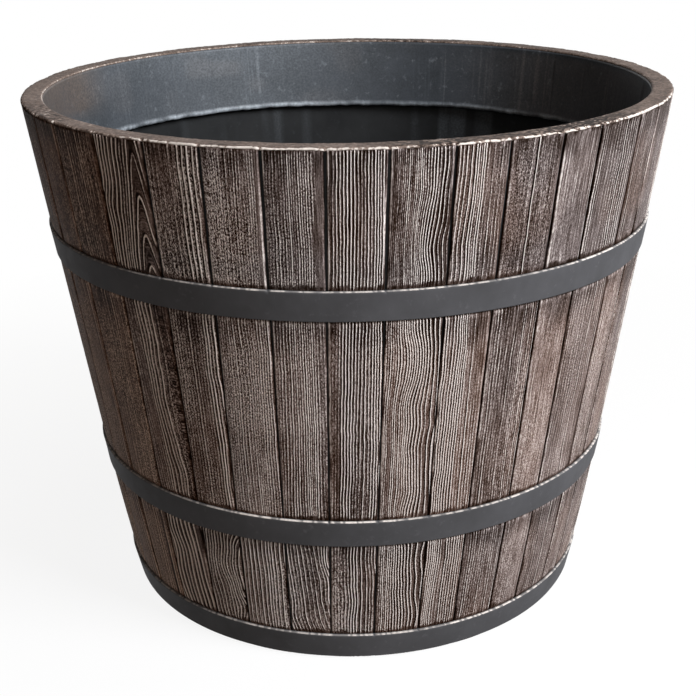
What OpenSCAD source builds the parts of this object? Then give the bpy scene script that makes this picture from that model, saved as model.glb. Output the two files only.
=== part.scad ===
// Round barrel planter moulded in plastic: a tapered pot with a stave pattern on its side, a broad
// rolled rim with a hanging inner skirt, three bands round it, and push-in plugs in its floor.
// The origin is on the ground at the middle of the foot. +Z is up and the front faces -Y.

/* [Barrel] */
// Outer diameter at the rim
rim_d = 400; // [340:5:460]
// Outer diameter at the foot
foot_d = 302; // [260:2:330]
// Height from the ground to the top of the rim
barrel_h = 324; // [280:2:400]
// How far the side curves in at the foot, past its straight taper
draw_in = 3; // [1:0.5:8]
// Height above the ground at which the side starts to curve in
draw_in_h = 100; // [60:5:160]
// Thickness of the side wall
wall = 3.5; // [2.5:0.5:5]

/* [Rim] */
// Width of the flat top of the rim
rim_w = 13; // [10:0.5:20]
// Thickness of the top of the rim
rim_t = 4; // [3:0.5:6]
// Rounding of the rim's two edges
rim_round = 1.5; // [0.5:0.25:1.5]
// Drop of the inner skirt below the top of the rim
skirt_drop = 50; // [30:2:60]
// Thickness of the inner skirt
skirt_t = 3.5; // [2.5:0.5:4]
// Gap between the skirt's lower edge and the side wall
skirt_gap = 3; // [2:0.5:5]
// Radius of the bead along the skirt's lower edge
bead_r = 2.2; // [2.1:0.1:2.6]

/* [Floor] */
// Height of the floor's underside above the ground
floor_lift = 10; // [8:1:16]
// Thickness of the floor
floor_t = 4; // [3:0.5:6]
// Radius of the inside corner between floor and side
corner_r = 14; // [8:1:20]
// Width of the ring that the planter stands on
foot_w = 5; // [4:0.5:8]

/* [Staves] */
// Width of the joint groove between two staves
joint_w = 2.4; // [1.4:0.2:3]
// Depth of the joint groove
joint_depth = 1.8; // [1.2:0.1:2]
// Average lean of the joint grooves off upright, to the right as seen from outside, in degrees
joint_lean = 0.9; // [0:0.1:2]
// Compass place of the first joint, in degrees left of the front
first_joint = 53.5; // [40:0.1:60]

/* [Bands] */
// Height of each band
band_h = 17.5; // [14:0.5:22]
// Thickness of each band
band_t = 1.8; // [1.6:0.1:3]
// Depth of the shallow seat that each band lies in
band_seat = 0.8; // [0.6:0.1:1]
// Clearance between a band and its seat
band_fit = 0.2; // [0.1:0.05:0.3]
// Bevel along a band's two outer edges
band_bevel = 0.6; // [0.3:0.1:0.8]
// Height of the base band's underside above the ground
base_band_z = 1; // [0.5:0.25:4]
// Height of the middle band's underside above the ground
middle_band_z = 85.5; // [60:0.5:110]
// Height of the upper band's underside above the ground
upper_band_z = 230; // [180:0.5:240]

/* [Drain plugs] */
// Diameter of each drain hole
drain_d = 16; // [12:1:20]
// Diameter of the circle that the outer drain holes lie on
drain_ring_d = 170; // [120:5:200]
// Clearance all round a plug's stem in its hole
plug_fit = 0.3; // [0.2:0.05:0.5]
// How far the head of a plug laps over the edge of its hole
plug_lap = 6; // [4:0.5:8]
// Thickness of a plug's head
plug_head_t = 2.5; // [2:0.5:4]
// How far a plug's stem reaches below the floor
plug_reach = 3; // [2:0.5:5]
// Length of the bevel at the tip of a plug's stem
plug_tip = 1.5; // [1:0.25:1.5]
// Diameter of the knob that a plug is pulled by
knob_d = 10; // [8:0.5:12]
// Height of that knob above the head
knob_h = 7; // [6:0.5:9]
// Diameter of the neck under the knob
neck_d = 6.5; // [5:0.5:7]

/* [Hidden] */

$fn = 120;
stave_colour = "#5a4a41";
band_colour = "#3b3b3d";
plug_colour = "#232323";

// Widths of the staves round the rim, from the first joint towards the right. They are shares of
// the whole circle: the first eleven are as wide as they look from the front, the rest are alike.
stave_widths = [37, 36.5, 32.5, 34, 32, 32.5, 34.5, 30, 33.5, 28, 38, 26, 35, 33, 31, 36, 34, 30, 35,
    33, 32, 36, 34, 29, 35, 33, 36, 31, 34, 32, 35, 30, 35, 33, 33, 31, 35, 31];

// How much more than joint_lean each joint leans, in degrees, with a minus sign where it leans less.
// The first twelve are as they look from the front, the rest are alike.
lean_more = [-0.3, 0.6, 0.4, 0.8, 0.3, 0.4, 0.1, -0.1, -0.1, -0.3, -0.3, 0.2, 0.4, -0.2, 0.1, 0.5, -0.3,
    0, 0.3, -0.1, 0.2, -0.4, 0.3, 0.6, -0.2, 0, 0.4, -0.3, 0.1, 0.5, -0.1, 0.3, -0.2, 0, 0.4, 0.1,
    -0.2, 0.2];

rim_r = rim_d / 2;
foot_r = foot_d / 2;
curve_steps = 5;
// Drain holes on the circle, besides the one in the middle
ring_plugs = 4;
floor_top = floor_lift + floor_t;
skirt_z = barrel_h - skirt_drop;
plug_head_r = drain_d / 2 + plug_lap;
stem_r = drain_d / 2 - plug_fit;
front = -90;
// How far the cutter of a joint groove stands out past the side
groove_over = band_t + 2;

// Sum of the first n entries of a list
function sum_first(list, n) = n <= 0 ? 0 : list[n - 1] + sum_first(list, n - 1);

// Compass place of joint i, in degrees from +X
function joint_angle(i) =
    front - first_joint + 360 * sum_first(stave_widths, i) / sum_first(stave_widths, len(stave_widths));

// Outer radius of the side at height z: a straight taper that curves in below draw_in_h
function side_r(z) =
    foot_r + draw_in + (rim_r - foot_r - draw_in) * z / barrel_h
    - (z < draw_in_h ? draw_in * pow(1 - z / draw_in_h, 2) : 0);

// Inner radius of the side wall at height z
function inner_r(z) = side_r(z) - wall;

// Points of an arc about [x, z], from angle a to angle b
function arc(x, z, r, a, b) = [for (i = [0:curve_steps])
    let (t = a + (b - a) * i / curve_steps) [x + r * cos(t), z + r * sin(t)]];

// Points of the side between two heights, needed only where it curves
function rise(a, b) = [for (i = [1:curve_steps - 1])
    let (z = a + (b - a) * i / curve_steps) if (z < draw_in_h) [side_r(z), z]];

// The four corners of the shallow seat that starts at height z
function seat(z) =
    let (top = z + band_h + band_fit)
    [[side_r(z), z], [side_r(z) - band_seat, z], [side_r(top) - band_seat, top], [side_r(top), top]];

skirt_low_out = inner_r(skirt_z) - skirt_gap;
skirt_low_in = skirt_low_out - skirt_t;
skirt_top_in = rim_r - rim_w;
bead_open = acos(skirt_t / 2 / bead_r);
corner_z = floor_top + corner_r;

outer_side = concat(
    [[side_r(0), 0]],
    seat(base_band_z),
    rise(base_band_z + band_h + band_fit, middle_band_z),
    seat(middle_band_z),
    rise(middle_band_z + band_h + band_fit, upper_band_z),
    seat(upper_band_z));

rim_top = concat(
    arc(rim_r - rim_round, barrel_h - rim_round, rim_round, 0, 90),
    arc(skirt_top_in + rim_round, barrel_h - rim_round, rim_round, 90, 180));

skirt_side = concat(
    arc(skirt_low_in + skirt_t / 2, skirt_z + bead_r, bead_r, 180 - bead_open, 360 + bead_open),
    [[skirt_top_in + skirt_t, barrel_h - rim_t]]);

inner_side = concat(
    [[inner_r(barrel_h - rim_t), barrel_h - rim_t]],
    [for (i = [0:curve_steps])
        let (z = corner_z + (min(draw_in_h, skirt_z) - corner_z) * (curve_steps - i) / curve_steps)
        [inner_r(z), z]],
    arc(inner_r(corner_z) - corner_r, corner_z, corner_r, 0, -90));

// The pot before its joints and drain holes are cut
module pot() {
    rotate_extrude()
        polygon(concat(
            [[0, floor_lift], [side_r(floor_lift) - foot_w, floor_lift], [side_r(0) - foot_w, 0]],
            outer_side, rim_top, skirt_side, inner_side, [[0, floor_top]]));
}

// One joint groove, a slot that follows the side from below the foot to above the rim
module joint_groove(lean) {
    heights = concat([0], [for (i = [1:curve_steps]) draw_in_h * i / curve_steps], [barrel_h]);
    inside = [for (z = heights) [side_r(z) - joint_depth, z]];
    outside = [for (i = [len(heights) - 1:-1:0]) [side_r(heights[i]) + groove_over, heights[i]]];
    translate([0, 0, barrel_h / 2])
        rotate([-lean, 0, 0])
            translate([0, 0, -barrel_h / 2])
                rotate([90, 0, 0])
                    linear_extrude(joint_w, center = true)
                        polygon(concat(
                            [[side_r(0) - joint_depth, -groove_over]], inside,
                            [[rim_r - joint_depth, barrel_h + groove_over]],
                            [[rim_r + groove_over, barrel_h + groove_over]], outside,
                            [[side_r(0) + groove_over, -groove_over]]));
}

// Places its child at each drain hole: the first in the middle, the rest on the circle
module at_drain(number) {
    turn = front + 360 / ring_plugs * (number - 1.5);
    reach = number == 1 ? 0 : drain_ring_d / 2;
    rotate([0, 0, turn])
        translate([reach, 0, 0])
            children();
}

module barrel_shell() {
    color(stave_colour)
        difference() {
            pot();
            for (i = [0:len(stave_widths) - 1])
                rotate([0, 0, joint_angle(i)])
                    joint_groove(joint_lean + lean_more[i]);
            for (number = [1:ring_plugs + 1])
                at_drain(number)
                    translate([0, 0, floor_lift - 1])
                        cylinder(h = floor_t + 2, d = drain_d);
        }
}

// A band whose inner face follows the seat that starts at height z
module band(z) {
    top = z + band_h;
    low_in = side_r(z) - band_seat + band_fit;
    top_in = side_r(top) - band_seat + band_fit;
    color(band_colour)
        rotate_extrude()
            polygon([
                [low_in, z], [low_in + band_t - band_bevel, z], [low_in + band_t, z + band_bevel],
                [top_in + band_t, top - band_bevel], [top_in + band_t - band_bevel, top], [top_in, top]]);
}

module upper_band() {
    band(upper_band_z);
}

module middle_band() {
    band(middle_band_z);
}

module base_band() {
    band(base_band_z);
}

// A push-in plug: a bevelled stem, a round head that covers the hole and a knob to pull it by
module drain_plug(number) {
    head_top = floor_top + plug_head_t;
    knob_top = head_top + knob_h;
    knob_low = head_top + knob_h / 2;
    edge = plug_head_t / 2;
    knob_round = knob_h / 4;
    color(plug_colour)
        at_drain(number)
            rotate_extrude()
                polygon(concat(
                    [[0, floor_lift - plug_reach], [stem_r - plug_tip, floor_lift - plug_reach]],
                    [[stem_r, floor_lift - plug_reach + plug_tip], [stem_r, floor_top]],
                    [[plug_head_r - edge, floor_top]],
                    arc(plug_head_r - edge, floor_top + edge, edge, -90, 90),
                    [[neck_d / 2, head_top], [neck_d / 2, knob_low]],
                    arc(knob_d / 2 - knob_round, knob_top - knob_round, knob_round, -90, 90),
                    [[0, knob_top]]));
}

module drain_plug_1() {
    drain_plug(1);
}

module drain_plug_2() {
    drain_plug(2);
}

module drain_plug_3() {
    drain_plug(3);
}

module drain_plug_4() {
    drain_plug(4);
}

module drain_plug_5() {
    drain_plug(5);
}

barrel_shell();
upper_band();
middle_band();
base_band();
drain_plug_1();
drain_plug_2();
drain_plug_3();
drain_plug_4();
drain_plug_5();
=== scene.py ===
# %% [markdown]
# # A plastic planter that looks like half a barrel
# The real planter is one hollow plastic moulding with three smooth bands round it. Its maker copied weathered
# planks into the mould, and then rubbed a tan paint over the dark plastic with a nearly dry brush, so that
# only the raised grain took it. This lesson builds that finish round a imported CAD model, which fixes every
# size and place. The shapes are worked out in millimetres and turned to metres when a mesh is made.

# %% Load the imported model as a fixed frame
import math
import bpy
import numpy as np
from mathutils import Matrix, Vector


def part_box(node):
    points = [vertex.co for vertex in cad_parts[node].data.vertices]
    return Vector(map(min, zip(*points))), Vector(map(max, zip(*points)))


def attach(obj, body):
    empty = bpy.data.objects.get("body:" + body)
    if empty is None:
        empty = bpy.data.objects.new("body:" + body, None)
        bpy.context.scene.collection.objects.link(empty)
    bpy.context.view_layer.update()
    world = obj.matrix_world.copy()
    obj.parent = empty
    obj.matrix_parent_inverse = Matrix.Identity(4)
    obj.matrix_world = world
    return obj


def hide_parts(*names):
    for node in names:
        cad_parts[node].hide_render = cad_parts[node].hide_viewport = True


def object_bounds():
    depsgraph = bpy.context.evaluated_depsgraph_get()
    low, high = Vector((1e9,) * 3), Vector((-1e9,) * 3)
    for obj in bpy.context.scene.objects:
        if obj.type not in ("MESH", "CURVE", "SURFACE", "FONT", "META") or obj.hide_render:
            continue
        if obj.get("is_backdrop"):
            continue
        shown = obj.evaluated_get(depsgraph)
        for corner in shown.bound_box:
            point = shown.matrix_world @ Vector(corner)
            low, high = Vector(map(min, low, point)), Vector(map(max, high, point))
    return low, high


MM = 0.001
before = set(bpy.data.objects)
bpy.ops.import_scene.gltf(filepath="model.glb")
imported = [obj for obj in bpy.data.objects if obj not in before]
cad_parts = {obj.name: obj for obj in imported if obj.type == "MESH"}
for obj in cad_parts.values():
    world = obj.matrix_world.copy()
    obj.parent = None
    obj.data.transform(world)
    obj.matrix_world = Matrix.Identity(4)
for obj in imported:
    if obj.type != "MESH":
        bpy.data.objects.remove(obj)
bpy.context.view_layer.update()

# %% [markdown]
# ## The camera
# A pinhole camera was fitted to the outlines of the rim, the bands and the foot in the photo. It stands in
# front of the planter, a little above its rim, and looks down by 21 degrees. The focal length is in pixels
# of the square photo, so the lens follows from the sensor's width.

# %% Camera at the photo's angle
PHOTO_PX = 696
FOCAL_PX = 1262.7
SENSOR_MM = 36.0
EYE = Vector((0.0, -0.8009, 0.4533))
PITCH = 0.3693
YAW = -0.0024
ROLL = -0.0167

ahead = Vector((math.sin(YAW) * math.cos(PITCH), math.cos(YAW) * math.cos(PITCH), -math.sin(PITCH)))
level_right = ahead.cross(Vector((0, 0, 1))).normalized()
level_up = level_right.cross(ahead)
right = math.cos(ROLL) * level_right + math.sin(ROLL) * level_up
up = math.cos(ROLL) * level_up - math.sin(ROLL) * level_right
camera = bpy.data.objects.new("camera", bpy.data.cameras.new("camera"))
camera.data.sensor_width = SENSOR_MM
camera.data.lens = FOCAL_PX / PHOTO_PX * SENSOR_MM
camera.matrix_world = Matrix.Translation(EYE) @ Matrix((right, up, -ahead)).transposed().to_4x4()
bpy.context.collection.objects.link(camera)
bpy.context.scene.camera = camera
print("lens:", round(camera.data.lens, 2), "mm")

# %% [markdown]
# ## Colours and nodes
# Every colour is written as the sRGB hex value that the eye sees, and one function turns it to the linear
# values that a renderer works with. One more function adds a shader node with its settings and links. The
# short ones after it name what a material does most: it joins numbers, mixes colours and asks for noise
# whose spots have a real size. So a material reads as a list of steps.

# %% Helpers for colours and nodes
def linear(hex_colour):
    """The linear RGBA of an sRGB hex colour."""
    parts = [int(hex_colour[i:i + 2], 16) / 255 for i in (1, 3, 5)]
    return tuple(c / 12.92 if c <= 0.04045 else ((c + 0.055) / 1.055) ** 2.4 for c in parts) + (1.0,)


def add(tree, kind, inputs=None, output=0, **settings):
    """Adds a shader node, sets and links its inputs, and returns one of its outputs if it has any."""
    node = tree.nodes.new("ShaderNode" + kind)
    for name, value in settings.items():
        setattr(node, name, value)
    for socket, value in (inputs or {}).items():
        if isinstance(value, bpy.types.NodeSocket):
            tree.links.new(value, node.inputs[socket])
        else:
            node.inputs[socket].default_value = value
    return node.outputs[output] if len(node.outputs) else None


def new_material(name, ior, gloss_level):
    """An empty node material, its tree and its principled shader."""
    material = bpy.data.materials.new(name)
    material.use_nodes = True
    shader = material.node_tree.nodes["Principled BSDF"]
    shader.inputs["IOR"].default_value = ior
    shader.inputs["Specular IOR Level"].default_value = gloss_level
    return material, material.node_tree, shader


print("a mid grey in linear light:", [round(c, 3) for c in linear("#808080")])

# %% Helpers that keep a material short
def maths(tree, operation, a, b=0.0):
    """Adds, multiplies or otherwise joins two numbers."""
    return add(tree, "Math", {0: a, 1: b}, operation=operation)


def plus(tree, a, b):
    """The sum of two numbers."""
    return maths(tree, "ADD", a, b)


def times(tree, a, b):
    """The product of two numbers."""
    return maths(tree, "MULTIPLY", a, b)


def swing(tree, value, size):
    """A value from 0 to 1 as a swing of half of size to both sides of 0."""
    return times(tree, maths(tree, "SUBTRACT", value, 0.5), size)


def remap(tree, value, low, high, to_low=0.0, to_high=1.0, **settings):
    """Turns the range low to high into the range to_low to to_high, and stops at its ends."""
    return add(tree, "MapRange", {0: value, 1: low, 2: high, 3: to_low, 4: to_high}, **settings)


def value_of(tree, name):
    """Reads one of the mesh's own values."""
    return add(tree, "Attribute", output="Fac", attribute_name=name)


def spots(tree, size_mm, detail, roughness=0.5):
    """Noise with spots of about that size."""
    place = add(tree, "TexCoord", output="Object")
    return add(tree, "TexNoise", {"Vector": place, "Scale": 1 / (size_mm * MM), "Detail": detail,
                                  "Roughness": roughness})


def mixed(tree, share, first, second, **settings):
    """Mixes two colours: a share of 0 gives the first, and 1 the second."""
    return add(tree, "Mix", {0: share, 6: first, 7: second}, output=2, data_type="RGBA", **settings)


def ramp(tree, factor, *stops):
    """A colour ramp with a stop at each (position, hex colour)."""
    colour = add(tree, "ValToRGB", {0: factor})
    elements = colour.node.color_ramp.elements
    while len(elements) < len(stops):
        elements.new(0.5)
    for element, (place, hex_colour) in zip(elements, stops):
        element.position = place
        element.color = linear(hex_colour)
    return colour


def dress(tree, shader, colour, gloss, height, strength, deep_mm):
    """Gives a shader its colour, its roughness and its bump."""
    bump = add(tree, "Bump", {"Strength": strength, "Distance": deep_mm * MM, "Height": height})
    for socket, value in (("Base Color", colour), ("Roughness", gloss), ("Normal", bump)):
        tree.links.new(value, shader.inputs[socket])
    print("a material with", len(tree.nodes), "nodes")


# %% [markdown]
# ## Background, floor and lamps
# The photo is cut out on pure white, and the planter is lit from high on the right, so that its left side
# and the right inside of its rim fall into shade. A soft lamp on the right does that, and a weak one in
# front opens the shade a little. The world is dim and warm for the light that reaches the planter from
# everywhere, and white only where the camera or a reflection sees it. The floor is drawn the same way, with
# enough of its real shading left to keep a soft shadow.

# %% World and floor
WORLD_LEVEL = 0.2
WARM_ROOM = linear("#ffe9d8")
WHITE = linear("#ffffff")
FLOOR_GREY = linear("#565452")
FLOOR_SIZE_M = 14.0
FLOOR_SHADE = 0.12
SHADE_NEAR_M = 0.2
SHADE_FAR_M = 0.75


def seen_ray(tree):
    """1 for rays of the camera, of reflections and through glass, and 0 for the light itself."""
    rays = add(tree, "LightPath").node.outputs
    glossy = maths(tree, "MAXIMUM", rays["Is Camera Ray"], rays["Is Glossy Ray"])
    return maths(tree, "MAXIMUM", glossy, rays["Is Transmission Ray"])


def board(name, corners, material):
    """A flat piece of the studio, which is no part of the planter."""
    mesh = bpy.data.meshes.new(name)
    mesh.from_pydata(corners, [], [(0, 1, 2, 3)])
    mesh.materials.append(material)
    piece = bpy.data.objects.new(name, mesh)
    bpy.context.collection.objects.link(piece)
    piece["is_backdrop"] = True
    return piece


world = bpy.data.worlds.new("studio")
bpy.context.scene.world = world
world.use_nodes = True
tree = world.node_tree
tree.nodes.clear()
room = add(tree, "Background", {"Color": WARM_ROOM, "Strength": WORLD_LEVEL})
sky = add(tree, "Background", {"Color": WHITE, "Strength": 1.0})
add(tree, "OutputWorld", {"Surface": add(tree, "MixShader", {0: seen_ray(tree), 1: room, 2: sky})})

floor_paint = bpy.data.materials.new("white_floor")
floor_paint.use_nodes = True
tree = floor_paint.node_tree
tree.nodes.clear()
matt = add(tree, "BsdfDiffuse", {"Color": WHITE})
white = add(tree, "Emission", {"Color": WHITE, "Strength": 1.0})
place = add(tree, "TexCoord", output="Object")
away = add(tree, "VectorMath", {0: place}, output="Value", operation="LENGTH")
share = remap(tree, away, SHADE_NEAR_M, SHADE_FAR_M, FLOOR_SHADE, 0.0)
seen = add(tree, "MixShader", {0: share, 1: white, 2: matt})
grey = add(tree, "BsdfDiffuse", {"Color": FLOOR_GREY})
add(tree, "OutputMaterial", {"Surface": add(tree, "MixShader", {0: seen_ray(tree), 1: grey, 2: seen})})
reach = FLOOR_SIZE_M / 2
board("floor", [(-reach, -reach, 0), (reach, -reach, 0), (reach, reach, 0), (-reach, reach, 0)], floor_paint)
print("floor:", FLOOR_SIZE_M, "m square")

# %% Soft lamps
LOOK_AT = Vector((0, 0, 0.2))


def soft_lamp(name, place, side_m, watts, colour):
    """A square area lamp that faces the planter."""
    lamp = bpy.data.objects.new(name, bpy.data.lights.new(name, "AREA"))
    lamp.data.color = linear(colour)[:3]
    lamp.data.size = side_m
    lamp.data.energy = watts
    lamp.location = place
    lamp.rotation_euler = (LOOK_AT - lamp.location).to_track_quat("-Z", "Y").to_euler()
    bpy.context.collection.objects.link(lamp)
    print(name, "is", round((lamp.location - LOOK_AT).length, 2), "m away")


soft_lamp("key_lamp", (1.2, -0.87, 1.3), 0.8, 51, "#f8fbff")
soft_lamp("front_fill", (-0.2, -2.2, 1.0), 1.4, 7, "#fff4ea")

# %% [markdown]
# ## A black flag
# Photographers stand a black board, a flag, beside an object whose shaded side should stay dark. The one
# here does the same on the left. The camera doesn't see it, but light and reflections do. Its cloth is
# matt black, so it gives back next to nothing.

# %% Flag
FLAG_X = -1.0
FLAG_Y = 1.5
FLAG_HIGH = 1.7
CLOTH_IOR = 1.5
flag_cloth, tree, shader = new_material("black_flag_cloth", CLOTH_IOR, 0.0)
shader.inputs["Base Color"].default_value = linear("#0c0c0c")
flag = board("flag", [(FLAG_X, -FLAG_Y, 0), (FLAG_X, FLAG_Y, 0), (FLAG_X, FLAG_Y, FLAG_HIGH),
                      (FLAG_X, -FLAG_Y, FLAG_HIGH)], flag_cloth)
flag.visible_camera = False
print("flag stands", -FLAG_X, "m to the left")

# %% [markdown]
# ## The barrel's own shape
# The side is a straight taper that curves in a little near the foot. The same formula made the CAD model,
# so everything that follows lies on it. The sizes of the box come from the frame. The others are repeated
# here in millimetres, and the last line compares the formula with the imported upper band.

# %% Sizes and the side's formula, in millimetres
shell_low, shell_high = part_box("barrel_shell")
rim_r = (shell_high.x - shell_low.x) / 2 / MM
barrel_h = shell_high.z / MM
foot_r = 151.0
draw_in = 3.0
draw_in_h = 100.0
wall = 3.5
rim_w = 13.0
skirt_drop = 50.0
skirt_t = 3.5
skirt_gap = 3.0
bead_r = 2.2
floor_lift = 10.0
floor_t = 4.0
corner_r = 14.0
foot_w = 5.0
joint_depth = 1.8
joint_lean = 0.9
first_joint = math.radians(53.5)
band_seat = 0.8
band_t = 1.8
band_fit = 0.2
drain_r = 8.0
drain_ring_r = 85.0
stave_widths = [37, 36.5, 32.5, 34, 32, 32.5, 34.5, 30, 33.5, 28, 38, 26, 35, 33, 31, 36, 34, 30, 35,
                33, 32, 36, 34, 29, 35, 33, 36, 31, 34, 32, 35, 30, 35, 33, 33, 31, 35, 31]
lean_more = [-0.3, 0.6, 0.4, 0.8, 0.3, 0.4, 0.1, -0.1, -0.1, -0.3, -0.3, 0.2, 0.4, -0.2, 0.1, 0.5, -0.3, 0,
             0.3, -0.1, 0.2, -0.4, 0.3, 0.6, -0.2, 0, 0.4, -0.3, 0.1, 0.5, -0.1, 0.3, -0.2, 0, 0.4, 0.1,
             -0.2, 0.2]
band_names = ["base_band", "middle_band", "upper_band"]
band_spans = [(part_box(name)[0].z / MM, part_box(name)[1].z / MM) for name in band_names]


def side_r(z):
    """Outer radius of the side at height z."""
    curl = np.clip(1 - np.asarray(z) / draw_in_h, 0, None)
    return foot_r + draw_in + (rim_r - foot_r - draw_in) * z / barrel_h - draw_in * curl ** 2


def joint_turn(number, z):
    """Where joint line number stands at height z, as an angle from +X in radians."""
    share = sum(stave_widths[:number]) / sum(stave_widths)
    lean = math.radians(joint_lean + lean_more[number % len(lean_more)])
    return (-math.pi / 2 - first_joint + 2 * math.pi * share
            + math.tan(lean) * (z - barrel_h / 2) / side_r(z))


band_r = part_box("upper_band")[1].x / MM
formula_r = side_r(band_spans[2][1]) - band_seat + band_fit + band_t
print("rim radius", round(rim_r, 2), "mm, height", round(barrel_h, 2), "mm")
print("upper band: packed", round(band_r, 2), "mm, by the formula about", round(float(formula_r), 2), "mm")

# %% [markdown]
# ## Meshes from grids of points
# Each piece here is a grid: rows of points whose last column joins its first, like a hose. The rows either
# run up a stave, with a cap at each end, or go once round the pot and meet again. A grid is quick to make
# with arrays, and it is closed by itself. Its UV map, on which colours can be baked, lays the grid out flat
# with the grain upright, in strips that give a long, narrow piece enough pixels.

# %% Helpers for grids
def grid_faces(rows, columns, wrap):
    """Corner numbers of a grid's quads, and each quad's row and column."""
    i, j = np.meshgrid(np.arange(rows if wrap else rows - 1), np.arange(columns), indexing="ij")
    i, j = i.ravel(), j.ravel()
    above, beside = (i + 1) % rows, (j + 1) % columns
    low, high = i * columns, above * columns
    return np.stack([low + j, low + beside, high + beside, high + j], 1), i, j


def in_strip(strip, share, strips, margin):
    """U of a share of one strip's width, where some strips lie side by side with a margin between."""
    return (strip + margin + (1 - 2 * margin) * share) / strips


def make_mesh(name, points_mm, faces, corner_uv, caps=()):
    """A mesh from points, quads, the UV of the quads' corners, and capping polygons with their UV."""
    polygons = [tuple(cap) for cap, _ in caps]
    sizes = np.array([4] * len(faces) + [len(cap) for cap in polygons], np.int32)
    corners = np.concatenate([faces.ravel()] + [np.array(cap) for cap in polygons]).astype(np.int32)
    uv = np.concatenate([corner_uv.reshape(-1, 2)] + [np.asarray(cap_uv, float) for _, cap_uv in caps])
    mesh = bpy.data.meshes.new(name)
    mesh.vertices.add(len(points_mm))
    mesh.vertices.foreach_set("co", (points_mm * MM).astype(np.float32).ravel())
    mesh.loops.add(len(corners))
    mesh.loops.foreach_set("vertex_index", corners)
    mesh.polygons.add(len(sizes))
    mesh.polygons.foreach_set("loop_start", np.concatenate([[0], np.cumsum(sizes)[:-1]]).astype(np.int32))
    mesh.update(calc_edges=True)
    layer = mesh.uv_layers.new(name="OFBake")
    layer.uv.foreach_set("vector", uv.astype(np.float32).ravel())
    mesh.polygons.foreach_set("use_smooth", np.ones(len(sizes), bool))
    mesh.validate()
    return mesh


def add_piece(name, mesh, material, node="barrel_shell", slot="stave_plastic", **values):
    """Shows a mesh as a piece of the pot that stands for a CAD node, with values for its material to read."""
    for value, numbers in values.items():
        layer = mesh.attributes.new(value, "FLOAT", "POINT")
        layer.data.foreach_set("value", np.asarray(numbers, np.float32).ravel())
    piece = bpy.data.objects.new(name, mesh)
    bpy.context.collection.objects.link(piece)
    mesh.materials.append(material)
    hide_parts(node)
    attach(piece, "pot")
    print(name, "has", len(mesh.polygons), "faces")
    return piece


# %% [markdown]
# ## Noise that is the same on every run
# Wood and worn edges need irregularity, but a script that rolls dice gives another object each time. This
# noise scrambles the numbers of a lattice's cells instead, so the same place always gives the same value.
# A length in mm divided by 34 gives it a new value every 34 mm. Its last number is a seed, another one for
# each use. The functions `step` and `fade` turn a measure into a share from 0 to 1.

# %% Repeatable noise
SCRAMBLE = 0x7FFFFFFF


def scrambled(i, j, seed):
    """A number from 0 to 1 that belongs to the whole numbers i and j."""
    n = (np.asarray(i).astype(np.int64) * 15731 + np.asarray(j).astype(np.int64) * 789221
         + int(seed) * 1299709) & SCRAMBLE
    n = (n ^ (n >> 13)) * 60493 & SCRAMBLE
    n = (n ^ (n >> 15)) * 19990303 & SCRAMBLE
    return (n ^ (n >> 14)) % 65536 / 65535


def noise(x, y, seed):
    """Smooth noise from 0 to 1 at the points (x, y), with one new value per unit."""
    x, y = np.broadcast_arrays(np.asarray(x, float), np.asarray(y, float))
    i, j = np.floor(x), np.floor(y)
    across, along = x - i, y - j
    across = across * across * (3 - 2 * across)
    along = along * along * (3 - 2 * along)
    low = scrambled(i, j, seed) * (1 - across) + scrambled(i + 1, j, seed) * across
    high = scrambled(i, j + 1, seed) * (1 - across) + scrambled(i + 1, j + 1, seed) * across
    return low * (1 - along) + high * along


def step(low, high, x):
    """0 below low, 1 above high, and a smooth rise between."""
    t = np.clip((x - low) / (high - low), 0, 1)
    return t * t * (3 - 2 * t)


def fade(low, high, x):
    """1 below low, 0 above high, and a smooth fall between."""
    return 1 - step(low, high, x)


def near_top(low, high, z):
    """0 at low mm under the planter's top, 1 at high mm under it, and a smooth rise between."""
    return step(barrel_h - low, barrel_h - high, z)


print("noise at three points:", np.round(noise([0.2, 5.5, 9.1], [0.1, 2.5, 7.7], 3), 3))

# %% [markdown]
# ## What the grain of a plank is
# A tree's growth rings are shells round its heart. Where a plank cuts them, each shows as a line. Lines run
# straight where the heart is far to one side, and close over it in arches that open downwards where the
# plank comes near it. So the grain here is one number for each point of a stave, its distance from the
# heart counted in rings. The whole part of that number says which ring the point is on, and the rest says
# where it is between two valleys. Geometry and colour both read it, so that the paint lies on the ridges.
#
# Each stave has a look for each of its three tiers, since the bands hide a change of plank. In it,
# - `pitch` is the mm from line to line, and `crowd` over 1 sets them wider apart near the heart;
# - `bold` and `faint` are the lines' strength inside and outside a zone round `bold_at`, from 0 at the left
#   edge to 1 at the right, that reaches `bold_reach`; `line` widens them and `open` thins them out;
# - `wave` is how far they wander, `speckle` how rough the skin is, and `calm` how plain beside the heart;
# - `heart` is where the heart is, in mm from the stave's middle, and `lean` its shift for each mm up;
# - `arch_foot` is the height where arches begin, 999 for none, and `arch` how blunt they are;
# - `bare` is the width of a plain strip on the right, or on the left if below 0, and `edge` the strength of
#   the pale lines on both edges, paint left there by the brush and partly a painted highlight;
# - `lift` adds paint, `patchy` makes it uneven, `warm` turns it from grey to brown, and `tint` colours all.

# %% The staves' looks, as the photo shows them
TIER_TOPS = (95.0, 238.0)
PLAIN = dict(pitch=1.8, crowd=1.0, bold=0.55, bold_at=0.5, bold_reach=0.6, faint=0.25, speckle=0.4, wave=0.6,
             heart=-70.0, lean=0.0, arch_foot=999.0, arch=0.8, calm=0.0, line=1.0, open=1.0,
             bare=0.0, edge=0.5, lift=0.0, patchy=0.26, warm=0.5, tint="#fffcfa")


def look(middle={}, base={}, **upper):
    """A stave's look in its three tiers, from the base up: each tier starts from the one above it."""
    upper = dict(PLAIN, **upper)
    middle = dict(upper, **middle)
    return [dict(middle, **base), middle, upper]


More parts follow.
